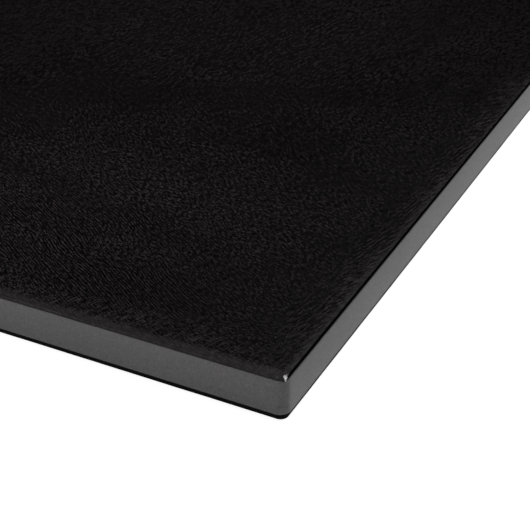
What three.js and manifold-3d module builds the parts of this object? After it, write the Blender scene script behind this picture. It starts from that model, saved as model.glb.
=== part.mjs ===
// A granite work slab for leathercraft: a honed stone slab, faced with black leather, on a
// rubber sheet that keeps it from sliding. Two thin adhesive films hold the layers together.
// Millimetres, +Z up. The origin is the centre of the underside and +Y runs along the longer side.
import * as THREE from "three";
import { mergeVertices } from "three/addons/utils/BufferGeometryUtils.js";
import Module from "manifold-3d";

// Driving dimensions.
const WIDTH = 300; // along X
const LENGTH = 400; // along Y
const CORNER_RADIUS = 2.75; // the stone's upright corners, in plan
const LEAST_CORNER_RADIUS = 0.2; // of a layer that is set in by more than the corner radius
const CORNER_SEGMENTS = 8;
const RUBBER_THICKNESS = 1.5;
const RUBBER_INSET = 0.65; // how far the rubber stops short of the stone's sides
const STONE_THICKNESS = 10;
const STONE_ARRIS = 0.2; // the eased edges of the stone
const ARRIS_SEGMENTS = 2;
const LEATHER_THICKNESS = 0.6;
const LEATHER_ROLL = 0.35; // the burnished rounding of the leather's upper edge
const LEATHER_CORNER_RADIUS = 1.6; // trimmed squarer than the stone below it
const ROLL_SEGMENTS = 4;
const FILM_THICKNESS = 0.1;
const FILM_INSET = 2.5; // how far the adhesive films stop short of the stone's sides

// Heights of the joints between the layers, from the underside up.
const RUBBER_TOP = RUBBER_THICKNESS;
const STONE_BOTTOM = RUBBER_TOP + FILM_THICKNESS;
const STONE_TOP = STONE_BOTTOM + STONE_THICKNESS;
const LEATHER_BOTTOM = STONE_TOP + FILM_THICKNESS;

const wasm = await Module();
wasm.setup();

const materials = {
  leather: new THREE.MeshStandardMaterial({ color: 0x1a1819, roughness: 0.5, metalness: 0 }),
  granite: new THREE.MeshStandardMaterial({ color: 0x6e6d6e, roughness: 0.55, metalness: 0 }),
  rubber: new THREE.MeshStandardMaterial({ color: 0x0c0c0c, roughness: 0.85, metalness: 0 }),
  adhesive: new THREE.MeshStandardMaterial({ color: 0xd9d6c8, roughness: 0.6, metalness: 0 }),
};

// The plan outline of a layer that is set in from the slab's sides, with rounded corners.
function outline(inset, r) {
  const x = WIDTH / 2 - inset;
  const y = LENGTH / 2 - inset;
  const shape = new THREE.Shape();
  shape.absarc(x - r, y - r, r, 0, Math.PI / 2);
  shape.absarc(r - x, y - r, r, Math.PI / 2, Math.PI);
  shape.absarc(r - x, r - y, r, Math.PI, Math.PI * 1.5);
  shape.absarc(x - r, r - y, r, Math.PI * 1.5, Math.PI * 2);
  shape.closePath();
  return shape;
}

// A square-edged layer from z = 0 up, whose corners run parallel to the stone's.
function plainLayer(inset, thickness) {
  const radius = Math.max(CORNER_RADIUS - inset, LEAST_CORNER_RADIUS);
  return new THREE.ExtrudeGeometry(outline(inset, radius), {
    depth: thickness,
    bevelEnabled: false,
    curveSegments: CORNER_SEGMENTS,
  });
}

// A full-size layer from z = 0 up whose upper and lower edges are both rounded by the size given.
function easedLayer(radius, thickness, size, segments) {
  const geometry = new THREE.ExtrudeGeometry(outline(0, radius), {
    depth: thickness - 2 * size,
    bevelEnabled: true,
    bevelThickness: size,
    bevelSize: size,
    bevelOffset: -size,
    bevelSegments: segments,
    curveSegments: CORNER_SEGMENTS,
  });
  return geometry.translate(0, 0, size);
}

// The stone: its edges are eased all round, top and bottom.
function stoneLayer() {
  return easedLayer(CORNER_RADIUS, STONE_THICKNESS, STONE_ARRIS, ARRIS_SEGMENTS);
}

// A closed geometry as a solid that can be cut.
function solidOf(geometry) {
  const bare = geometry.clone();
  bare.deleteAttribute("normal");
  bare.deleteAttribute("uv");
  const merged = mergeVertices(bare, 1e-4);
  return new wasm.Manifold(
    new wasm.Mesh({
      numProp: 3,
      vertProperties: merged.attributes.position.array,
      triVerts: new Uint32Array(merged.index.array),
    }),
  );
}

// A solid back as a geometry.
function geometryOf(solid) {
  const { vertProperties, triVerts } = solid.getMesh();
  return new THREE.BufferGeometry()
    .setAttribute("position", new THREE.BufferAttribute(vertProperties, 3))
    .setIndex(new THREE.BufferAttribute(triVerts, 1));
}

// The leather: its upper edge is rolled over, and its underside is flat right out to the edge.
// It is the upper half of a layer of twice its thickness, which is rounded on both sides.
function leatherLayer() {
  const thickness = 2 * LEATHER_THICKNESS;
  const doubled = easedLayer(LEATHER_CORNER_RADIUS, thickness, LEATHER_ROLL, ROLL_SEGMENTS);
  doubled.translate(0, 0, -LEATHER_THICKNESS);
  const upperHalf = new THREE.BoxGeometry(2 * WIDTH, 2 * LENGTH, 2 * LEATHER_THICKNESS);
  upperHalf.translate(0, 0, LEATHER_THICKNESS);
  return geometryOf(solidOf(doubled).intersect(solidOf(upperHalf)));
}

// A named piece with its underside at height z.
function piece(name, geometry, material, z) {
  const mesh = new THREE.Mesh(geometry, material);
  mesh.name = name;
  mesh.position.z = z;
  return mesh;
}

const slab = new THREE.Group();
slab.add(
  piece("rubber_base", plainLayer(RUBBER_INSET, RUBBER_THICKNESS), materials.rubber, 0),
  piece("base_adhesive", plainLayer(FILM_INSET, FILM_THICKNESS), materials.adhesive, RUBBER_TOP),
  piece("granite_slab", stoneLayer(), materials.granite, STONE_BOTTOM),
  piece("facing_adhesive", plainLayer(FILM_INSET, FILM_THICKNESS), materials.adhesive, STONE_TOP),
  piece("leather_facing", leatherLayer(), materials.leather, LEATHER_BOTTOM),
);

export default slab;
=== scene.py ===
"""The looks of a granite work slab for leathercraft: a honed grey stone slab with a black leather
facing and a black rubber base, on a white light table. Metres, +Z up, in the frame of the CAD part."""
import math

import bpy
import numpy as np
from mathutils import Matrix, Vector, noise

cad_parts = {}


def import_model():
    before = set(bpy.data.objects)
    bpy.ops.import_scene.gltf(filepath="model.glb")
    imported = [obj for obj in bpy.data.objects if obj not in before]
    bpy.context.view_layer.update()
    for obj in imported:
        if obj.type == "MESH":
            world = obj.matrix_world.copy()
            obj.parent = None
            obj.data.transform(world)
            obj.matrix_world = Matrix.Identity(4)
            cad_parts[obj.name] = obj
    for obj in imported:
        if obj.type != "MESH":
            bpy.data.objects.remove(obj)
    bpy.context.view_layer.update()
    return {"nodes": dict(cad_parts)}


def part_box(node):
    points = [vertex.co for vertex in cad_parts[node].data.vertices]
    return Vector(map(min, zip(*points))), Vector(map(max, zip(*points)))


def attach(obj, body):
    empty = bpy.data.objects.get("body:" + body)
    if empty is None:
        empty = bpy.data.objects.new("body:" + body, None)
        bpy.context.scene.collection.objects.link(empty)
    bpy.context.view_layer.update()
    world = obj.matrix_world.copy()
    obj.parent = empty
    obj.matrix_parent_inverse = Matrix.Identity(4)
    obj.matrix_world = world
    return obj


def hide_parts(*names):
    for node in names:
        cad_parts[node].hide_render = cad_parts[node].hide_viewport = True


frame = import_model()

MM = 0.001

# Places and sizes that follow from the CAD part.
STONE_LOW, STONE_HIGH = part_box("granite_slab")
LEATHER_LOW, LEATHER_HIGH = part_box("leather_facing")
RUBBER_LOW, RUBBER_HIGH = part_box("rubber_base")
HALF_WIDTH = STONE_HIGH.x
HALF_LENGTH = STONE_HIGH.y
THICKNESS = LEATHER_HIGH.z

# The shape of each layer.
STONE_CORNER = 2.75 * MM
STONE_ARRIS = 0.05 * MM  # the eased edge round the stone's top
STONE_FOOT_ARRIS = 0.12 * MM  # and round its underside
FOOT_SHADE_HEIGHT = 0.30 * MM  # how far up the stone's sides the painted shade at its foot reaches
STONE_CROWN = 0.02 * MM  # how much fuller the stone's sides are at half height
RUBBER_CORNER = 2.1 * MM
RUBBER_EDGE = 0.12 * MM
INSET_SIDE = 0.16 * MM  # how far the facing stops short of the stone's long sides
INSET_FRONT = 0.24 * MM  # and of its short sides
LEATHER_HALF_X = HALF_WIDTH - INSET_SIDE
LEATHER_HALF_Y = HALF_LENGTH - INSET_FRONT
LEATHER_CORNER = 0.8 * MM
BEVEL_WIDTH = 0.40 * MM  # the leather's bevelled edge
BEVEL_HEIGHT = 0.42 * MM
BEVEL_RINGS = 3
CUT_SLOPE = 0.36  # two flats are worn down to each corner, one mostly from each side
CUT_TURN = math.radians(27)
LONG_CUT_START = 0.24 * MM
SHORT_CUT_START = 0.28 * MM
LEATHER_FOOT = STONE_HIGH.z + 0.02 * MM  # outside the film, the sheet is pressed down to the stone
FOOT_WIDTH = 2.0 * MM
FOOT_RISE = 0.3 * MM  # how far in from there the underside takes to rise onto the film
LEAST_LEATHER = 0.06 * MM
FINE_STEP = 0.16 * MM  # the mesh's pitch over the corner facets
FINE_STEPS = 8
COARSE_STEP = 0.42 * MM  # and over the rest of the margin
COARSE_STEPS = 6
MARGIN_FRONT = 3.4 * MM  # the pressed margin along the two short sides
MARGIN_SIDE = 2.3 * MM  # and along the two long ones
MARGIN_SLOPE = 0.075
MARGIN_ONSET = 1.2 * MM  # the margin's slope comes in over this width
LEATHER_STEP = 1.6 * MM  # the mesh's pitch away from the margin
OUTLINE_STEP = 1.5 * MM  # the pitch of the stone's and the rubber's outlines

# The lights stand round a point near the slab's near right corner.
LIT_POINT = Vector((0.4 * HALF_WIDTH, -0.4 * HALF_LENGTH, 0))
LIGHT_DISTANCE = 1.3
TABLE_GLOW = 0.92
SPOT_DISTANCE = 0.8
SPOT_RADIUS = 0.002
SPOT_IRRADIANCE = 0.22


# ---------------------------------------------------------------- mesh helpers

def add_mesh(name, vertices, faces, materials, slots=None, crease=32):
    """A mesh object with its materials, smooth-shaded where its faces meet at less than crease
    degrees; slots gives each face's material."""
    mesh = bpy.data.meshes.new(name)
    mesh.from_pydata([tuple(v) for v in vertices], [], [tuple(f) for f in faces])
    for material in materials:
        mesh.materials.append(material)
    if slots is not None:
        mesh.polygons.foreach_set("material_index", slots)
    mesh.polygons.foreach_set("use_smooth", [True] * len(mesh.polygons))
    mesh.update()
    mesh.set_sharp_from_angle(angle=math.radians(crease))
    obj = bpy.data.objects.new(name, mesh)
    bpy.context.scene.collection.objects.link(obj)
    return obj


def straight(start, end, pitch):
    """Points from start to just before end, no further apart than pitch."""
    count = max(1, math.ceil((end - start).length / pitch))
    return [start.lerp(end, i / count) for i in range(count)]


def rounded_outline(half_x, half_y, radius, pitch, arc_steps):
    """The points of a rounded rectangle and their outward directions, anticlockwise."""
    points, normals = [], []
    for quarter in range(4):
        turn = Matrix.Rotation(quarter * math.pi / 2, 2)
        hx, hy = (half_x, half_y) if quarter % 2 == 0 else (half_y, half_x)
        centre = Vector((hx - radius, hy - radius))
        for i in range(arc_steps):
            angle = i / arc_steps * math.pi / 2
            outward = Vector((math.cos(angle), math.sin(angle)))
            points.append(turn @ (centre + radius * outward))
            normals.append(turn @ outward)
        start = Vector((hx - radius, hy))
        for p in straight(start, Vector((radius - hx, hy)), pitch):
            points.append(turn @ p)
            normals.append(turn @ Vector((0, 1)))
    return points, normals


def turned_layer(name, outline, profile, materials, wobble=None, foot_row=None):
    """A closed layer: the outline swept down a profile of (inset, height), capped at both ends.
    From foot_row of the profile down it takes the second material."""
    points, normals = outline
    count = len(points)
    vertices = []
    for row, (inset, height) in enumerate(profile):
        for p, n in zip(points, normals):
            q = p - inset * n
            shift = wobble(q, row, height) if wobble else 0.0
            vertices.append((q.x - shift * n.x, q.y - shift * n.y, height))
    faces, slots = [], []
    for row in range(len(profile) - 1):
        slots += [int(foot_row is not None and row >= foot_row)] * count
        a, b = row * count, (row + 1) * count
        for i in range(count):
            j = (i + 1) % count
            faces.append((a + i, b + i, b + j, a + j))
    faces.append(tuple(range(count)))
    last = (len(profile) - 1) * count
    faces.append(tuple(last + i for i in reversed(range(count))))
    slots += [0, int(foot_row is not None)]
    return add_mesh(name, vertices, faces, materials, slots)


# ---------------------------------------------------------------- material helpers

class Nodes:
    """Short calls for building a material's nodes."""

    def __init__(self, name):
        self.material = bpy.data.materials.new(name)
        self.material.use_nodes = True
        self.tree = self.material.node_tree
        self.shader = self.tree.nodes["Principled BSDF"]

    def put(self, value, socket):
        if isinstance(value, bpy.types.NodeSocket):
            self.tree.links.new(value, socket)
        else:
            socket.default_value = value

    def math(self, operation, a, b=0.0, clamp=False):
        node = self.tree.nodes.new("ShaderNodeMath")
        node.operation = operation
        node.use_clamp = clamp
        self.put(a, node.inputs[0])
        self.put(b, node.inputs[1])
        return node.outputs[0]

    def vector(self, operation, a, b=None, scale=None):
        node = self.tree.nodes.new("ShaderNodeVectorMath")
        node.operation = operation
        self.put(a, node.inputs[0])
        if b is not None:
            self.put(b, node.inputs[1])
        if scale is not None:
            self.put(scale, node.inputs["Scale"])
        return node

    def place_mm(self):
        """The point's place on the object, in millimetres."""
        where = self.tree.nodes.new("ShaderNodeTexCoord")
        return self.vector("SCALE", where.outputs["Object"], scale=1 / MM).outputs[0]

    def axes(self, vector):
        node = self.tree.nodes.new("ShaderNodeSeparateXYZ")
        self.put(vector, node.inputs[0])
        return node.outputs

    def joined(self, x, y, z=0.0):
        node = self.tree.nodes.new("ShaderNodeCombineXYZ")
        for value, socket in zip((x, y, z), node.inputs):
            self.put(value, socket)
        return node.outputs[0]

    def noise(self, vector, scale, detail=2.0, roughness=0.5):
        node = self.tree.nodes.new("ShaderNodeTexNoise")
        self.put(vector, node.inputs["Vector"])
        node.inputs["Scale"].default_value = scale
        node.inputs["Detail"].default_value = detail
        node.inputs["Roughness"].default_value = roughness
        return node.outputs

    def cells(self, vector, scale, feature="F1", randomness=1.0, smoothness=None):
        node = self.tree.nodes.new("ShaderNodeTexVoronoi")
        node.feature = feature
        self.put(vector, node.inputs["Vector"])
        node.inputs["Scale"].default_value = scale
        node.inputs["Randomness"].default_value = randomness
        if smoothness is not None:
            node.inputs["Smoothness"].default_value = smoothness
        return node.outputs

    def ramp(self, value, low, high, to_low=0.0, to_high=1.0, smooth=True):
        """value between low and high as to_low to to_high, held flat outside."""
        node = self.tree.nodes.new("ShaderNodeMapRange")
        node.interpolation_type = "SMOOTHSTEP" if smooth else "LINEAR"
        for v, socket in zip((value, low, high, to_low, to_high), node.inputs):
            self.put(v, socket)
        return node.outputs[0]

    def blend(self, share, a, b):
        """a where share is 0 and b where it is 1, for numbers."""
        node = self.tree.nodes.new("ShaderNodeMix")
        for v, socket in zip((share, a, b), (node.inputs[0], node.inputs[2], node.inputs[3])):
            self.put(v, socket)
        return node.outputs[0]

    def tint(self, share, a, b):
        """Colour a where share is 0 and b where it is 1."""
        node = self.tree.nodes.new("ShaderNodeMix")
        node.data_type = "RGBA"
        for v, socket in zip((share, a, b), (node.inputs[0], node.inputs[6], node.inputs[7])):
            self.put(v, socket)
        return node.outputs[2]

    def bump(self, height, depth, strength=1.0, base=None):
        node = self.tree.nodes.new("ShaderNodeBump")
        node.inputs["Strength"].default_value = strength
        node.inputs["Distance"].default_value = depth
        self.put(height, node.inputs["Height"])
        if base is not None:
            self.put(base, node.inputs["Normal"])
        return node.outputs[0]


def rim_distance(n, x, y):
    """The distance in millimetres from a point to the slab's nearest side, as a node value."""
    to_x = n.math("SUBTRACT", HALF_WIDTH / MM, n.math("ABSOLUTE", x))
    to_y = n.math("SUBTRACT", HALF_LENGTH / MM, n.math("ABSOLUTE", y))
    return to_x, to_y


# ---------------------------------------------------------------- materials

def lane_places(n, place, degrees):
    """How far a point lies along and across a flow that runs at an angle and bends a little, in mm."""
    x, y, _ = n.axes(place)
    cos, sin = math.cos(math.radians(degrees)), math.sin(math.radians(degrees))
    along = n.math("ADD", n.math("MULTIPLY", x, cos), n.math("MULTIPLY", y, sin))
    across = n.math("SUBTRACT", n.math("MULTIPLY", y, cos), n.math("MULTIPLY", x, sin))
    bend = n.math("MULTIPLY", n.noise(place, 0.022, detail=1.5)[0], 9.0)
    return along, n.math("ADD", across, bend)


def flow(n, place, degrees, pitch, run):
    """Short streaks and, between them, parallel creases: two heights from 0 to 1."""
    along, across = lane_places(n, place, degrees)
    lane = n.joined(n.math("DIVIDE", across, pitch), n.math("DIVIDE", along, run), degrees)
    streaks = n.ramp(n.noise(lane, 1.8, detail=1.0, roughness=0.6)[0], 0.36, 0.64)
    break_up = n.noise(lane, 0.5, detail=2.0)[0]
    phase = n.math("ADD", n.math("DIVIDE", across, pitch), n.math("MULTIPLY", break_up, 2.0))
    wave = n.math("SINE", n.math("MULTIPLY", phase, 2 * math.pi))
    return streaks, n.ramp(wave, -0.8, 0.9)


def leather_material():
    """Black dyed calf leather: flowing creases over a fine pebble, smoothed by wear along its margin; its colour
    also carries painted sheen, highlights and shade.
    """
    n = Nodes("black_leather")
    place = n.place_mm()
    x, y, _ = n.axes(place)
    to_x, to_y = rim_distance(n, x, y)
    patches = n.noise(place, 0.034, detail=2.0)
    one, two, three = n.axes(patches["Color"])

    # The grain runs one way over most of the hide, and lengthwise in its far half and by its long side.
    streaks, wave = flow(n, place, -30, 0.80, 3.6)
    far_streaks, far_wave = flow(n, place, 76, 1.2, 4.5)
    beyond = n.math("ADD", n.math("MULTIPLY", x, -0.45), y)
    far_half = n.ramp(n.math("ADD", beyond, n.math("MULTIPLY", two, 90.0)), -70.0, -30.0)
    by_side = n.ramp(n.math("ADD", to_x, n.math("MULTIPLY", two, 24.0)), 18.0, 26.0, 1.0, 0.0)
    turned = n.math("MAXIMUM", far_half, by_side)
    streaks = n.blend(turned, streaks, far_streaks)
    wave = n.blend(turned, wave, far_wave)

    # The pebble between them: small raised cells, a little drawn out along the flow.
    along, across = lane_places(n, place, -30)
    jitter = n.vector("SCALE", n.noise(place, 0.9)["Color"], scale=0.7).outputs[0]
    oval = n.joined(across, n.math("DIVIDE", along, 2.3))
    pebble = n.cells(n.vector("ADD", oval, jitter).outputs[0], 1.5, "SMOOTH_F1", smoothness=0.2)[0]
    pebble = n.ramp(pebble, 0.15, 0.7, 1.0, 0.0)

    # Creased patches come and go; the grain lies flatter towards the far half.
    creased = n.ramp(one, 0.46, 0.60)
    near_speckle = n.noise(place, 2.5, detail=1.0, roughness=0.6)[0]
    far_speckle = n.noise(place, 1.3, detail=1.0, roughness=0.6)[0]
    speckle = n.ramp(n.blend(n.ramp(beyond, -190.0, -40.0), near_speckle, far_speckle), 0.36, 0.64)
    plain = n.blend(0.4, n.blend(0.3, streaks, pebble), speckle)
    grain = n.blend(n.math("MULTIPLY", creased, 0.42), n.ramp(plain, 0.14, 0.86), wave)
    coarse = n.math("MULTIPLY", n.ramp(three, 0.40, 0.62, 0.86, 1.0), n.ramp(beyond, -200.0, -60.0, 1.0, 0.72))

    # The margin is worn smooth: the grain fades out over a slightly wavy border.
    waver = n.math("MULTIPLY", n.math("SUBTRACT", n.noise(place, 0.12, detail=2.0)[0], 0.5), 2.4)
    from_side = n.math("SUBTRACT", to_x, MARGIN_SIDE / MM)
    from_front = n.math("SUBTRACT", to_y, MARGIN_FRONT / MM)
    inside = n.math("ADD", n.math("MINIMUM", from_side, from_front), waver)
    grained = n.ramp(inside, -1.8, 0.9)
    height = n.math("MULTIPLY", n.math("MULTIPLY", grain, coarse), n.blend(grained, 0.2, 1.0))

    tone = n.noise(place, 0.018, detail=3.0)[0]
    # Painted sheen: the colour is lighter away from the long sides and most of all near the short sides, standing
    # in for how the light falls over the hide; random tone is added on top.
    painted_sheen_and_tone = n.math("MULTIPLY", n.ramp(to_x, 10.0, 90.0, smooth=False), n.ramp(to_y, 20.0, 130.0, 0.9, 0.42))
    painted_sheen_and_tone = n.math("ADD", painted_sheen_and_tone, n.ramp(to_y, 80.0, 220.0, 0.0, 0.13))
    painted_sheen_and_tone = n.math("ADD", painted_sheen_and_tone, n.ramp(tone, 0.3, 0.7, -0.1, 0.1))
    # Crests are painted lighter and hollows darker: partly the grain's own tone, partly painted highlights on the
    # crests and painted shade in the creases.
    ridge_highlight = n.tint(painted_sheen_and_tone, (0.036, 0.029, 0.031, 1), (0.104, 0.085, 0.091, 1))
    middle = n.tint(painted_sheen_and_tone, (0.0096, 0.0078, 0.0083, 1), (0.0325, 0.0265, 0.0285, 1))
    valley_shade = n.tint(coarse, middle, (0.0011, 0.0008, 0.0009, 1))
    ridge_highlight = n.tint(coarse, middle, ridge_highlight)
    crest = n.math("POWER", n.ramp(grain, 0.1, 1.0, smooth=False), 2.4)
    colour = n.tint(crest, valley_shade, ridge_highlight)

    # Fine pale streaks run by the long sides, and by the short sides near the corners: partly scratch marks,
    # partly painted highlights.
    along, across = lane_places(n, place, 68)
    lane = n.joined(n.math("DIVIDE", across, 0.42), n.math("DIVIDE", along, 4.0))
    scratch_and_highlight_lines = n.ramp(n.noise(lane, 1.0, detail=2.0)[0], 0.52, 0.66)
    by_short = n.math("MULTIPLY", n.ramp(to_y, 4.0, 15.0, 1.0, 0.0), n.ramp(to_x, 50.0, 100.0, 1.0, 0.0))
    by_long = n.ramp(n.math("ADD", to_x, n.math("MULTIPLY", two, 10.0)), 5.0, 15.0, 1.0, 0.0)
    rubbed_and_lit = n.math("MULTIPLY", n.math("MAXIMUM", by_long, by_short), n.ramp(three, 0.40, 0.60, 0.2, 0.55))
    scratches_and_highlights = n.math("MULTIPLY", scratch_and_highlight_lines, rubbed_and_lit)
    colour = n.tint(scratches_and_highlights, colour, (0.150, 0.134, 0.139, 1))
    # The margin's colour: partly wear, partly painted sheen, lighter than the grain; it is painted darker towards
    # the long sides and within a millimetre of the short sides' edge, as painted shade.
    scuff_and_sheen = n.blend(0.6, n.noise(place, 0.35, detail=3.0)[0], grain)
    scuff_and_sheen = n.math("MULTIPLY", n.ramp(scuff_and_sheen, 0.2, 0.85, 0.38, 1.0), n.ramp(to_x, 5.0, 110.0, 0.68, 1.0))
    scuff_and_sheen = n.math("MULTIPLY", scuff_and_sheen, n.ramp(to_y, 0.2, 0.9, 0.62, 1.0))
    worn_and_sheen = n.tint(scuff_and_sheen, (0.005, 0.0045, 0.0047, 1), (0.080, 0.0720, 0.0749, 1))
    n.put(n.tint(grained, worn_and_sheen, colour), n.shader.inputs["Base Color"])
    n.put(n.blend(grained, 0.26, n.ramp(tone, 0.3, 0.7, 0.17, 0.21)), n.shader.inputs["Roughness"])
    n.shader.inputs["IOR"].default_value = 1.33
    n.put(n.bump(height, 0.12 * MM), n.shader.inputs["Normal"])
    return n.material


def burnished_material():
    """The leather's bevelled rim, sealed with glossy black edge paint."""
    n = Nodes("burnished_leather_rim")
    place = n.place_mm()
    ripple = n.noise(place, 0.9, detail=2.0)[0]
    n.put(n.tint(ripple, (0.0010, 0.0010, 0.0010, 1), (0.0022, 0.0020, 0.0020, 1)),
          n.shader.inputs["Base Color"])
    n.put(n.ramp(ripple, 0.3, 0.7, 0.17, 0.21), n.shader.inputs["Roughness"])
    n.shader.inputs["IOR"].default_value = 1.32
    n.put(n.bump(ripple, 0.02 * MM), n.shader.inputs["Normal"])
    return n.material


def leather_edge_material():
    """The leather's cut edge: dyed fibres, dull black."""
    n = Nodes("leather_cut_edge")
    place = n.place_mm()
    x, y, z = n.axes(place)
    fibres = n.noise(n.joined(x, y, n.math("MULTIPLY", z, 6.0)), 2.0, detail=3.0)[0]
    n.put(n.tint(fibres, (0.0015, 0.0014, 0.0014, 1), (0.003, 0.0028, 0.0028, 1)),
          n.shader.inputs["Base Color"])
    n.shader.inputs["Roughness"].default_value = 0.95
    n.shader.inputs["Specular IOR Level"].default_value = 0.1
    n.put(n.bump(fibres, 0.06 * MM), n.shader.inputs["Normal"])
    return n.material


def granite_material():
    """Honed fine-grained grey granite: pale and dark mineral grains of well under a millimetre."""
    n = Nodes("honed_granite")
    place = n.place_mm()
    wobble = n.noise(place, 1.3, detail=2.0)["Color"]
    bent = n.vector("ADD", place, n.vector("SCALE", wobble, scale=0.5).outputs[0]).outputs[0]
    grain = n.cells(bent, 1.9)["Color"]
    small = n.cells(bent, 4.2)["Color"]
    one, two, _ = n.axes(grain)
    three, four, _ = n.axes(small)
    mix = n.math("ADD", n.math("MULTIPLY", one, 0.6), n.math("MULTIPLY", three, 0.4))
    cloud = n.noise(place, 0.06, detail=3.0)[0]
    tone = n.math("ADD", mix, n.math("MULTIPLY", n.math("SUBTRACT", cloud, 0.5), 0.5))
    colour = n.tint(n.ramp(tone, 0.1, 0.9, smooth=False), (0.0565, 0.0535, 0.0548, 1),
                    (0.0790, 0.0750, 0.0768, 1))
    mica = n.ramp(two, 0.93, 0.97)
    colour = n.tint(n.math("MULTIPLY", mica, 0.5), colour, (0.03, 0.03, 0.031, 1))
    quartz = n.ramp(four, 0.95, 0.98)
    colour = n.tint(n.math("MULTIPLY", quartz, 0.4), colour, (0.17, 0.168, 0.165, 1))
    n.put(colour, n.shader.inputs["Base Color"])
    n.put(n.ramp(one, 0.0, 1.0, 0.38, 0.50, smooth=False), n.shader.inputs["Roughness"])
    pits = n.noise(place, 3.0, detail=3.0)[0]
    n.shader.inputs["IOR"].default_value = 1.36
    n.put(n.bump(pits, 0.012 * MM), n.shader.inputs["Normal"])
    return n.material


def foot_shade_material():
    """A dull black band along the stone's foot: painted shade where the stone meets what it stands on."""
    n = Nodes("painted_foot_shade")
    place = n.place_mm()
    shade_mottle = n.noise(place, 0.7, detail=3.0)[0]
    n.put(n.tint(shade_mottle, (0.0012, 0.0012, 0.0012, 1), (0.003, 0.003, 0.003, 1)), n.shader.inputs["Base Color"])
    n.put(n.ramp(shade_mottle, 0.3, 0.7, 0.8, 0.95), n.shader.inputs["Roughness"])
    n.shader.inputs["Specular IOR Level"].default_value = 0.03
    n.put(n.bump(shade_mottle, 0.03 * MM), n.shader.inputs["Normal"])
    return n.material


def rubber_material():
    """Matte black sheet rubber with a fine moulded texture."""
    n = Nodes("black_rubber")
    place = n.place_mm()
    nap = n.cells(place, 1.6, "SMOOTH_F1", smoothness=0.6)[0]
    dust = n.noise(place, 0.05, detail=4.0)[0]
    n.put(n.tint(n.ramp(dust, 0.35, 0.7), (0.0015, 0.0015, 0.0015, 1), (0.0035, 0.0035, 0.0035, 1)),
          n.shader.inputs["Base Color"])
    n.put(n.ramp(dust, 0.3, 0.7, 0.78, 0.9), n.shader.inputs["Roughness"])
    n.shader.inputs["Specular IOR Level"].default_value = 0.05
    n.put(n.bump(nap, 0.10 * MM), n.shader.inputs["Normal"])
    return n.material


def adhesive_material():
    """Translucent-looking cream adhesive film, only seen at the layers' edges."""
    n = Nodes("adhesive_film")
    place = n.place_mm()
    mottle = n.noise(place, 0.8, detail=3.0)[0]
    n.put(n.tint(mottle, (0.42, 0.40, 0.34, 1), (0.55, 0.52, 0.45, 1)), n.shader.inputs["Base Color"])
    n.shader.inputs["Roughness"].default_value = 0.6
    n.put(n.bump(mottle, 0.02 * MM), n.shader.inputs["Normal"])
    return n.material


# ---------------------------------------------------------------- pieces

def edge_stops(half):
    """Grid positions across the leather: close at the bevel and the margin, even between them."""
    near = [BEVEL_WIDTH * i / BEVEL_RINGS for i in range(BEVEL_RINGS + 1)]
    near += [BEVEL_WIDTH + (i + 1) * FINE_STEP for i in range(FINE_STEPS)]
    near += [near[-1] + (i + 1) * COARSE_STEP for i in range(COARSE_STEPS)]
    inner = half - near[-1]
    count = math.ceil(2 * inner / LEATHER_STEP)
    middle = [-inner + 2 * inner * i / count for i in range(1, count)]
    return [d - half for d in near] + middle + [half - d for d in reversed(near)]


def round_corner(x, y, radius):
    """Where a square grid's point goes on a sheet with rounded corners, and how far in it is."""
    ax = (abs(x) - (LEATHER_HALF_X - radius)) / radius
    ay = (abs(y) - (LEATHER_HALF_Y - radius)) / radius
    if ax <= 0 or ay <= 0:
        return x, y, min(LEATHER_HALF_X - abs(x), LEATHER_HALF_Y - abs(y))
    bx = ax * math.sqrt(1 - ay * ay / 2)
    by = ay * math.sqrt(1 - ax * ax / 2)
    px = math.copysign(LEATHER_HALF_X - radius + bx * radius, x)
    py = math.copysign(LEATHER_HALF_Y - radius + by * radius, y)
    return px, py, radius * (1 - math.hypot(bx, by))


def corner_cut(x, y):
    """The height of the lower of the two flats that are worn down to the nearest corner."""
    to_x, to_y = LEATHER_HALF_X - abs(x), LEATHER_HALF_Y - abs(y)
    cos, sin = math.cos(CUT_TURN), math.sin(CUT_TURN)
    long_side = cos * to_x + sin * to_y - LONG_CUT_START
    short_side = sin * to_x + cos * to_y - SHORT_CUT_START
    return LEATHER_FOOT + LEAST_LEATHER + CUT_SLOPE * min(long_side, short_side)


def leather_height(x, y, inward):
    """The height of the leather's face: bevelled at the edge, pressed along the margin, then level."""
    margin = MARGIN_SIDE if LEATHER_HALF_X - abs(x) < LEATHER_HALF_Y - abs(y) else MARGIN_FRONT
    margin += 0.3 * noise.noise(Vector((x, y, 0.0)) * 60.0) * MM
    into = max(0.0, margin - inward)
    eased = into ** 2 / (2 * MARGIN_ONSET) if into < MARGIN_ONSET else into - MARGIN_ONSET / 2
    drop = MARGIN_SLOPE * eased
    drop += BEVEL_HEIGHT * max(0.0, 1 - inward / BEVEL_WIDTH)
    calm = min(1.0, inward / (4 * MM))
    swell = 0.05 * noise.noise(Vector((x, y, 0.3)) * 22.0)
    swell += 0.025 * noise.noise(Vector((x, y, 0.7)) * 75.0)
    return LEATHER_HIGH.z - drop + calm * swell * MM


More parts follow.
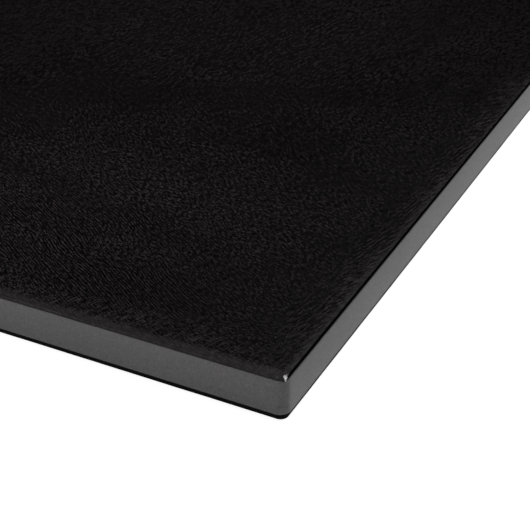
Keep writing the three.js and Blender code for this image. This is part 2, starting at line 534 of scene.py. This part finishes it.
def leather_sheet(face, rim_finish, cut):
    """The leather facing: a closed sheet with a rolled edge and a pressed margin."""
    xs, ys = edge_stops(LEATHER_HALF_X), edge_stops(LEATHER_HALF_Y)
    across = len(xs)
    vertices, worn_and_sheen = [], []
    for y in ys:
        for x in xs:
            px, py, inward = round_corner(x, y, LEATHER_CORNER)
            height, cut_height = leather_height(px, py, inward), corner_cut(px, py)
            worn_and_sheen.append(cut_height < height)
            vertices.append((px, py, max(min(height, cut_height), LEATHER_FOOT + LEAST_LEATHER)))
    rows = len(ys)
    faces, slots = [], []
    for r in range(rows - 1):
        for c in range(across - 1):
            a = r * across + c
            faces.append((a, a + 1, a + across + 1, a + across))
            on_bevel = min(c, across - 2 - c) < BEVEL_RINGS
            slots.append(1 if on_bevel or all(worn_and_sheen[k] for k in faces[-1]) else 0)
    rim = [c for c in range(across)]
    rim += [r * across + across - 1 for r in range(1, rows)]
    rim += [(rows - 1) * across + c for c in range(across - 2, -1, -1)]
    rim += [r * across for r in range(rows - 2, 0, -1)]
    previous = rim
    inner = [FOOT_WIDTH, FOOT_WIDTH + FOOT_RISE]
    for inset, height in ((0.0, LEATHER_FOOT), (inner[0], LEATHER_FOOT), (inner[1], LEATHER_LOW.z)):
        ring = []
        for k in rim:
            vx, vy, _ = vertices[k]
            ring.append(len(vertices))
            vertices.append((vx * (1 - inset / LEATHER_HALF_X), vy * (1 - inset / LEATHER_HALF_Y), height))
        for i in range(len(rim)):
            j = (i + 1) % len(rim)
            faces.append((previous[i], ring[i], ring[j], previous[j]))
            slots.append(2)
        previous = ring
    faces.append(tuple(reversed(previous)))
    slots.append(2)
    return add_mesh("leather_sheet", vertices, faces, [face, rim_finish, cut], slots, crease=16)


def stone_body(granite, foot_shade):
    """The stone slab: crowned honed sides between two eased arrises."""
    outline = rounded_outline(HALF_WIDTH, HALF_LENGTH, STONE_CORNER, OUTLINE_STEP, 10)
    low, high = STONE_LOW.z, STONE_HIGH.z
    easing = [(1 - math.sin(math.radians(a)), 1 - math.cos(math.radians(a))) for a in range(0, 91, 30)]
    profile = [(STONE_ARRIS * inset, high - STONE_ARRIS * drop) for inset, drop in easing]
    side = 14
    top, foot = high - STONE_ARRIS, low + STONE_FOOT_ARRIS
    profile += [(0.0, top + (foot - top) * i / side) for i in range(1, side)]
    # From this row down, the bottom of the sides and the foot's arris take the painted shade.
    foot_row = len(profile)
    profile += [(0.0, low + FOOT_SHADE_HEIGHT)]
    profile += [(STONE_FOOT_ARRIS * inset, low + STONE_FOOT_ARRIS * drop) for inset, drop in reversed(easing)]

    def wobble(q, row, height):
        level = (height - low) / (high - low)
        crown = STONE_CROWN * (2 * level - 1) ** 2
        near_arris = max(0.0, 1 - min(height - low, high - height) / (0.5 * MM))
        wear = abs(noise.noise(Vector((q.x, q.y, height)) * 900.0)) * 0.04 * MM * near_arris
        return crown + wear

    return turned_layer("granite_body", outline, profile, [granite, foot_shade], wobble, foot_row)


def rubber_sheet(material):
    """The rubber base: a sheet cut square, a little smaller than the stone."""
    outline = rounded_outline(RUBBER_HIGH.x, RUBBER_HIGH.y, RUBBER_CORNER, OUTLINE_STEP, 8)
    low, high = RUBBER_LOW.z, RUBBER_HIGH.z
    profile = [(0.0, high), (0.0, 0.5 * (high + low)), (0.0, low + RUBBER_EDGE),
               (RUBBER_EDGE * 0.3, low + RUBBER_EDGE * 0.3), (RUBBER_EDGE, low)]

    def wobble(q, row, height):
        return 0.05 * MM * noise.noise(Vector((q.x, q.y, 0.0)) * 120.0) + 0.05 * MM

    return turned_layer("rubber_sheet", outline, profile, [material], wobble)


# ---------------------------------------------------------------- stage

def floor():
    """A white light table, as bright to the camera all over, whose glow on the slab's two seen sides
    fades towards the front side's foot and grows towards the right side's."""
    bpy.ops.mesh.primitive_plane_add(size=12)
    obj = bpy.context.object
    obj.name = "floor"
    n = Nodes("pale_floor")
    x, y, _ = n.axes(n.place_mm())
    ahead = n.math("SUBTRACT", -HALF_LENGTH / MM, y)
    beside = n.math("SUBTRACT", x, HALF_WIDTH / MM)
    front_glow = n.ramp(ahead, 0.0, 45.0, 0.70, 1.8)
    side_glow = n.ramp(beside, 0.0, 22.0, 0.97, 0.52)
    glow = n.blend(n.ramp(beside, -1.0, 1.0), TABLE_GLOW, side_glow)
    glow = n.blend(n.ramp(n.math("SUBTRACT", ahead, n.math("MAXIMUM", beside, 0.0)), -4.0, 4.0), glow, front_glow)
    ray = n.tree.nodes.new("ShaderNodeLightPath").outputs["Is Camera Ray"]
    n.put(n.blend(ray, glow, TABLE_GLOW), n.shader.inputs["Emission Strength"])
    n.shader.inputs["Base Color"].default_value = (0.8, 0.8, 0.8, 1)
    n.shader.inputs["Roughness"].default_value = 0.9
    n.shader.inputs["Specular IOR Level"].default_value = 0.0
    n.shader.inputs["Emission Color"].default_value = (1, 1, 1, 1)
    obj.data.materials.append(n.material)


def bearing(azimuth, elevation):
    """The unit vector towards an azimuth (anticlockwise from +X) and elevation, in degrees."""
    a, e = math.radians(azimuth), math.radians(elevation)
    return Vector((math.cos(e) * math.cos(a), math.cos(e) * math.sin(a), math.sin(e)))


def softbox(name, towards, edge, width, height, radiance):
    """A rectangular light of even radiance in a direction from the slab, its width along edge."""
    z = towards.normalized()
    y = z.cross(edge).normalized()
    x = y.cross(z)
    data = bpy.data.lights.new(name, "AREA")
    data.shape = "RECTANGLE"
    data.size = width
    data.size_y = height
    data.energy = radiance * math.pi * width * height
    obj = bpy.data.objects.new(name, data)
    obj.location = LIT_POINT + z * LIGHT_DISTANCE
    obj.rotation_euler = Matrix((x, y, z)).transposed().to_euler()
    bpy.context.scene.collection.objects.link(obj)
    return obj


def world():
    """A dark studio around the light table, which the camera sees as pale as the table."""
    w = bpy.data.worlds.new("studio")
    bpy.context.scene.world = w
    w.use_nodes = True
    tree = w.node_tree
    tree.nodes.clear()
    out = tree.nodes.new("ShaderNodeOutputWorld")
    ray = tree.nodes.new("ShaderNodeLightPath")
    dark = tree.nodes.new("ShaderNodeBackground")
    pale = tree.nodes.new("ShaderNodeBackground")
    mix = tree.nodes.new("ShaderNodeMixShader")
    dark.inputs[0].default_value = (1, 1, 1, 1)
    dark.inputs[1].default_value = 0.004
    pale.inputs[0].default_value = (1, 1, 1, 1)
    pale.inputs[1].default_value = 1.0
    tree.links.new(ray.outputs["Is Camera Ray"], mix.inputs[0])
    tree.links.new(dark.outputs[0], mix.inputs[1])
    tree.links.new(pale.outputs[0], mix.inputs[2])
    tree.links.new(mix.outputs[0], out.inputs[0])


def corner_spot():
    """A small spot on the near right corner, where the long side's flat throws it back to the camera."""
    data = bpy.data.lights.new("corner_glint", "SPOT")
    data.spot_size = math.radians(1.0)
    data.spot_blend = 1.0
    data.shadow_soft_size = SPOT_RADIUS
    data.energy = SPOT_IRRADIANCE * 4 * math.pi * SPOT_DISTANCE ** 2
    obj = bpy.data.objects.new("corner_glint", data)
    corner = Vector((HALF_WIDTH, -HALF_LENGTH, THICKNESS))
    flat = Vector((CUT_SLOPE * math.cos(CUT_TURN), -CUT_SLOPE * math.sin(CUT_TURN), 1)).normalized()
    to_camera = (bpy.context.scene.camera.location - corner).normalized()
    towards = 2 * flat.dot(to_camera) * flat - to_camera
    obj.location = corner + towards * SPOT_DISTANCE
    obj.rotation_euler = towards.to_track_quat("Z", "Y").to_euler()
    bpy.context.scene.collection.objects.link(obj)


def lights():
    softbox("overhead", Vector((0.129, 0.304, 0.944)), Vector((-0.587, -0.509, 0.244)),
            1.5, 1.5, 0.72)
    softbox("front_left", bearing(-122, 45), Vector((1, -0.6, 0)), 1.0, 0.95, 0.38)
    softbox("front_right", bearing(-45, 17), Vector((1, 1, 0)), 0.9, 0.45, 0.28)
    softbox("key", Vector((0.271, 0.062, 0.962)), Vector((0, 1, 0)), 0.12, 0.12, 45)
    corner_spot()


def camera():
    """The photograph's view: the near corner seen from 32 degrees above, a little rolled."""
    data = bpy.data.cameras.new("view")
    data.sensor_width = 36.0
    data.lens = 82.175
    data.clip_start = 0.01
    obj = bpy.data.objects.new("view", data)
    obj.location = (0.249751, -0.390072, 0.177152)
    azimuth, elevation, roll = 28.6693, 32.0098, -1.7487
    turn = (Matrix.Rotation(math.radians(azimuth), 4, "Z")
            @ Matrix.Rotation(math.radians(90 - elevation), 4, "X")
            @ Matrix.Rotation(math.radians(roll), 4, "Z"))
    obj.rotation_euler = turn.to_euler()
    bpy.context.scene.collection.objects.link(obj)
    bpy.context.scene.camera = obj


# ---------------------------------------------------------------- build

bpy.context.scene.view_settings.view_transform = "Standard"
world()
camera()
lights()
floor()

leather = leather_sheet(leather_material(), burnished_material(), leather_edge_material())
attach(leather, "root")
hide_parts("leather_facing")

# The stone's foot carries a dull black band of painted shade.
stone = stone_body(granite_material(), foot_shade_material())
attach(stone, "root")
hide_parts("granite_slab")

rubber = rubber_sheet(rubber_material())
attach(rubber, "root")
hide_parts("rubber_base")

film = adhesive_material()
for name in ("facing_adhesive", "base_adhesive"):
    slots = frame["nodes"][name].data.materials
    slots.clear()
    slots.append(film)
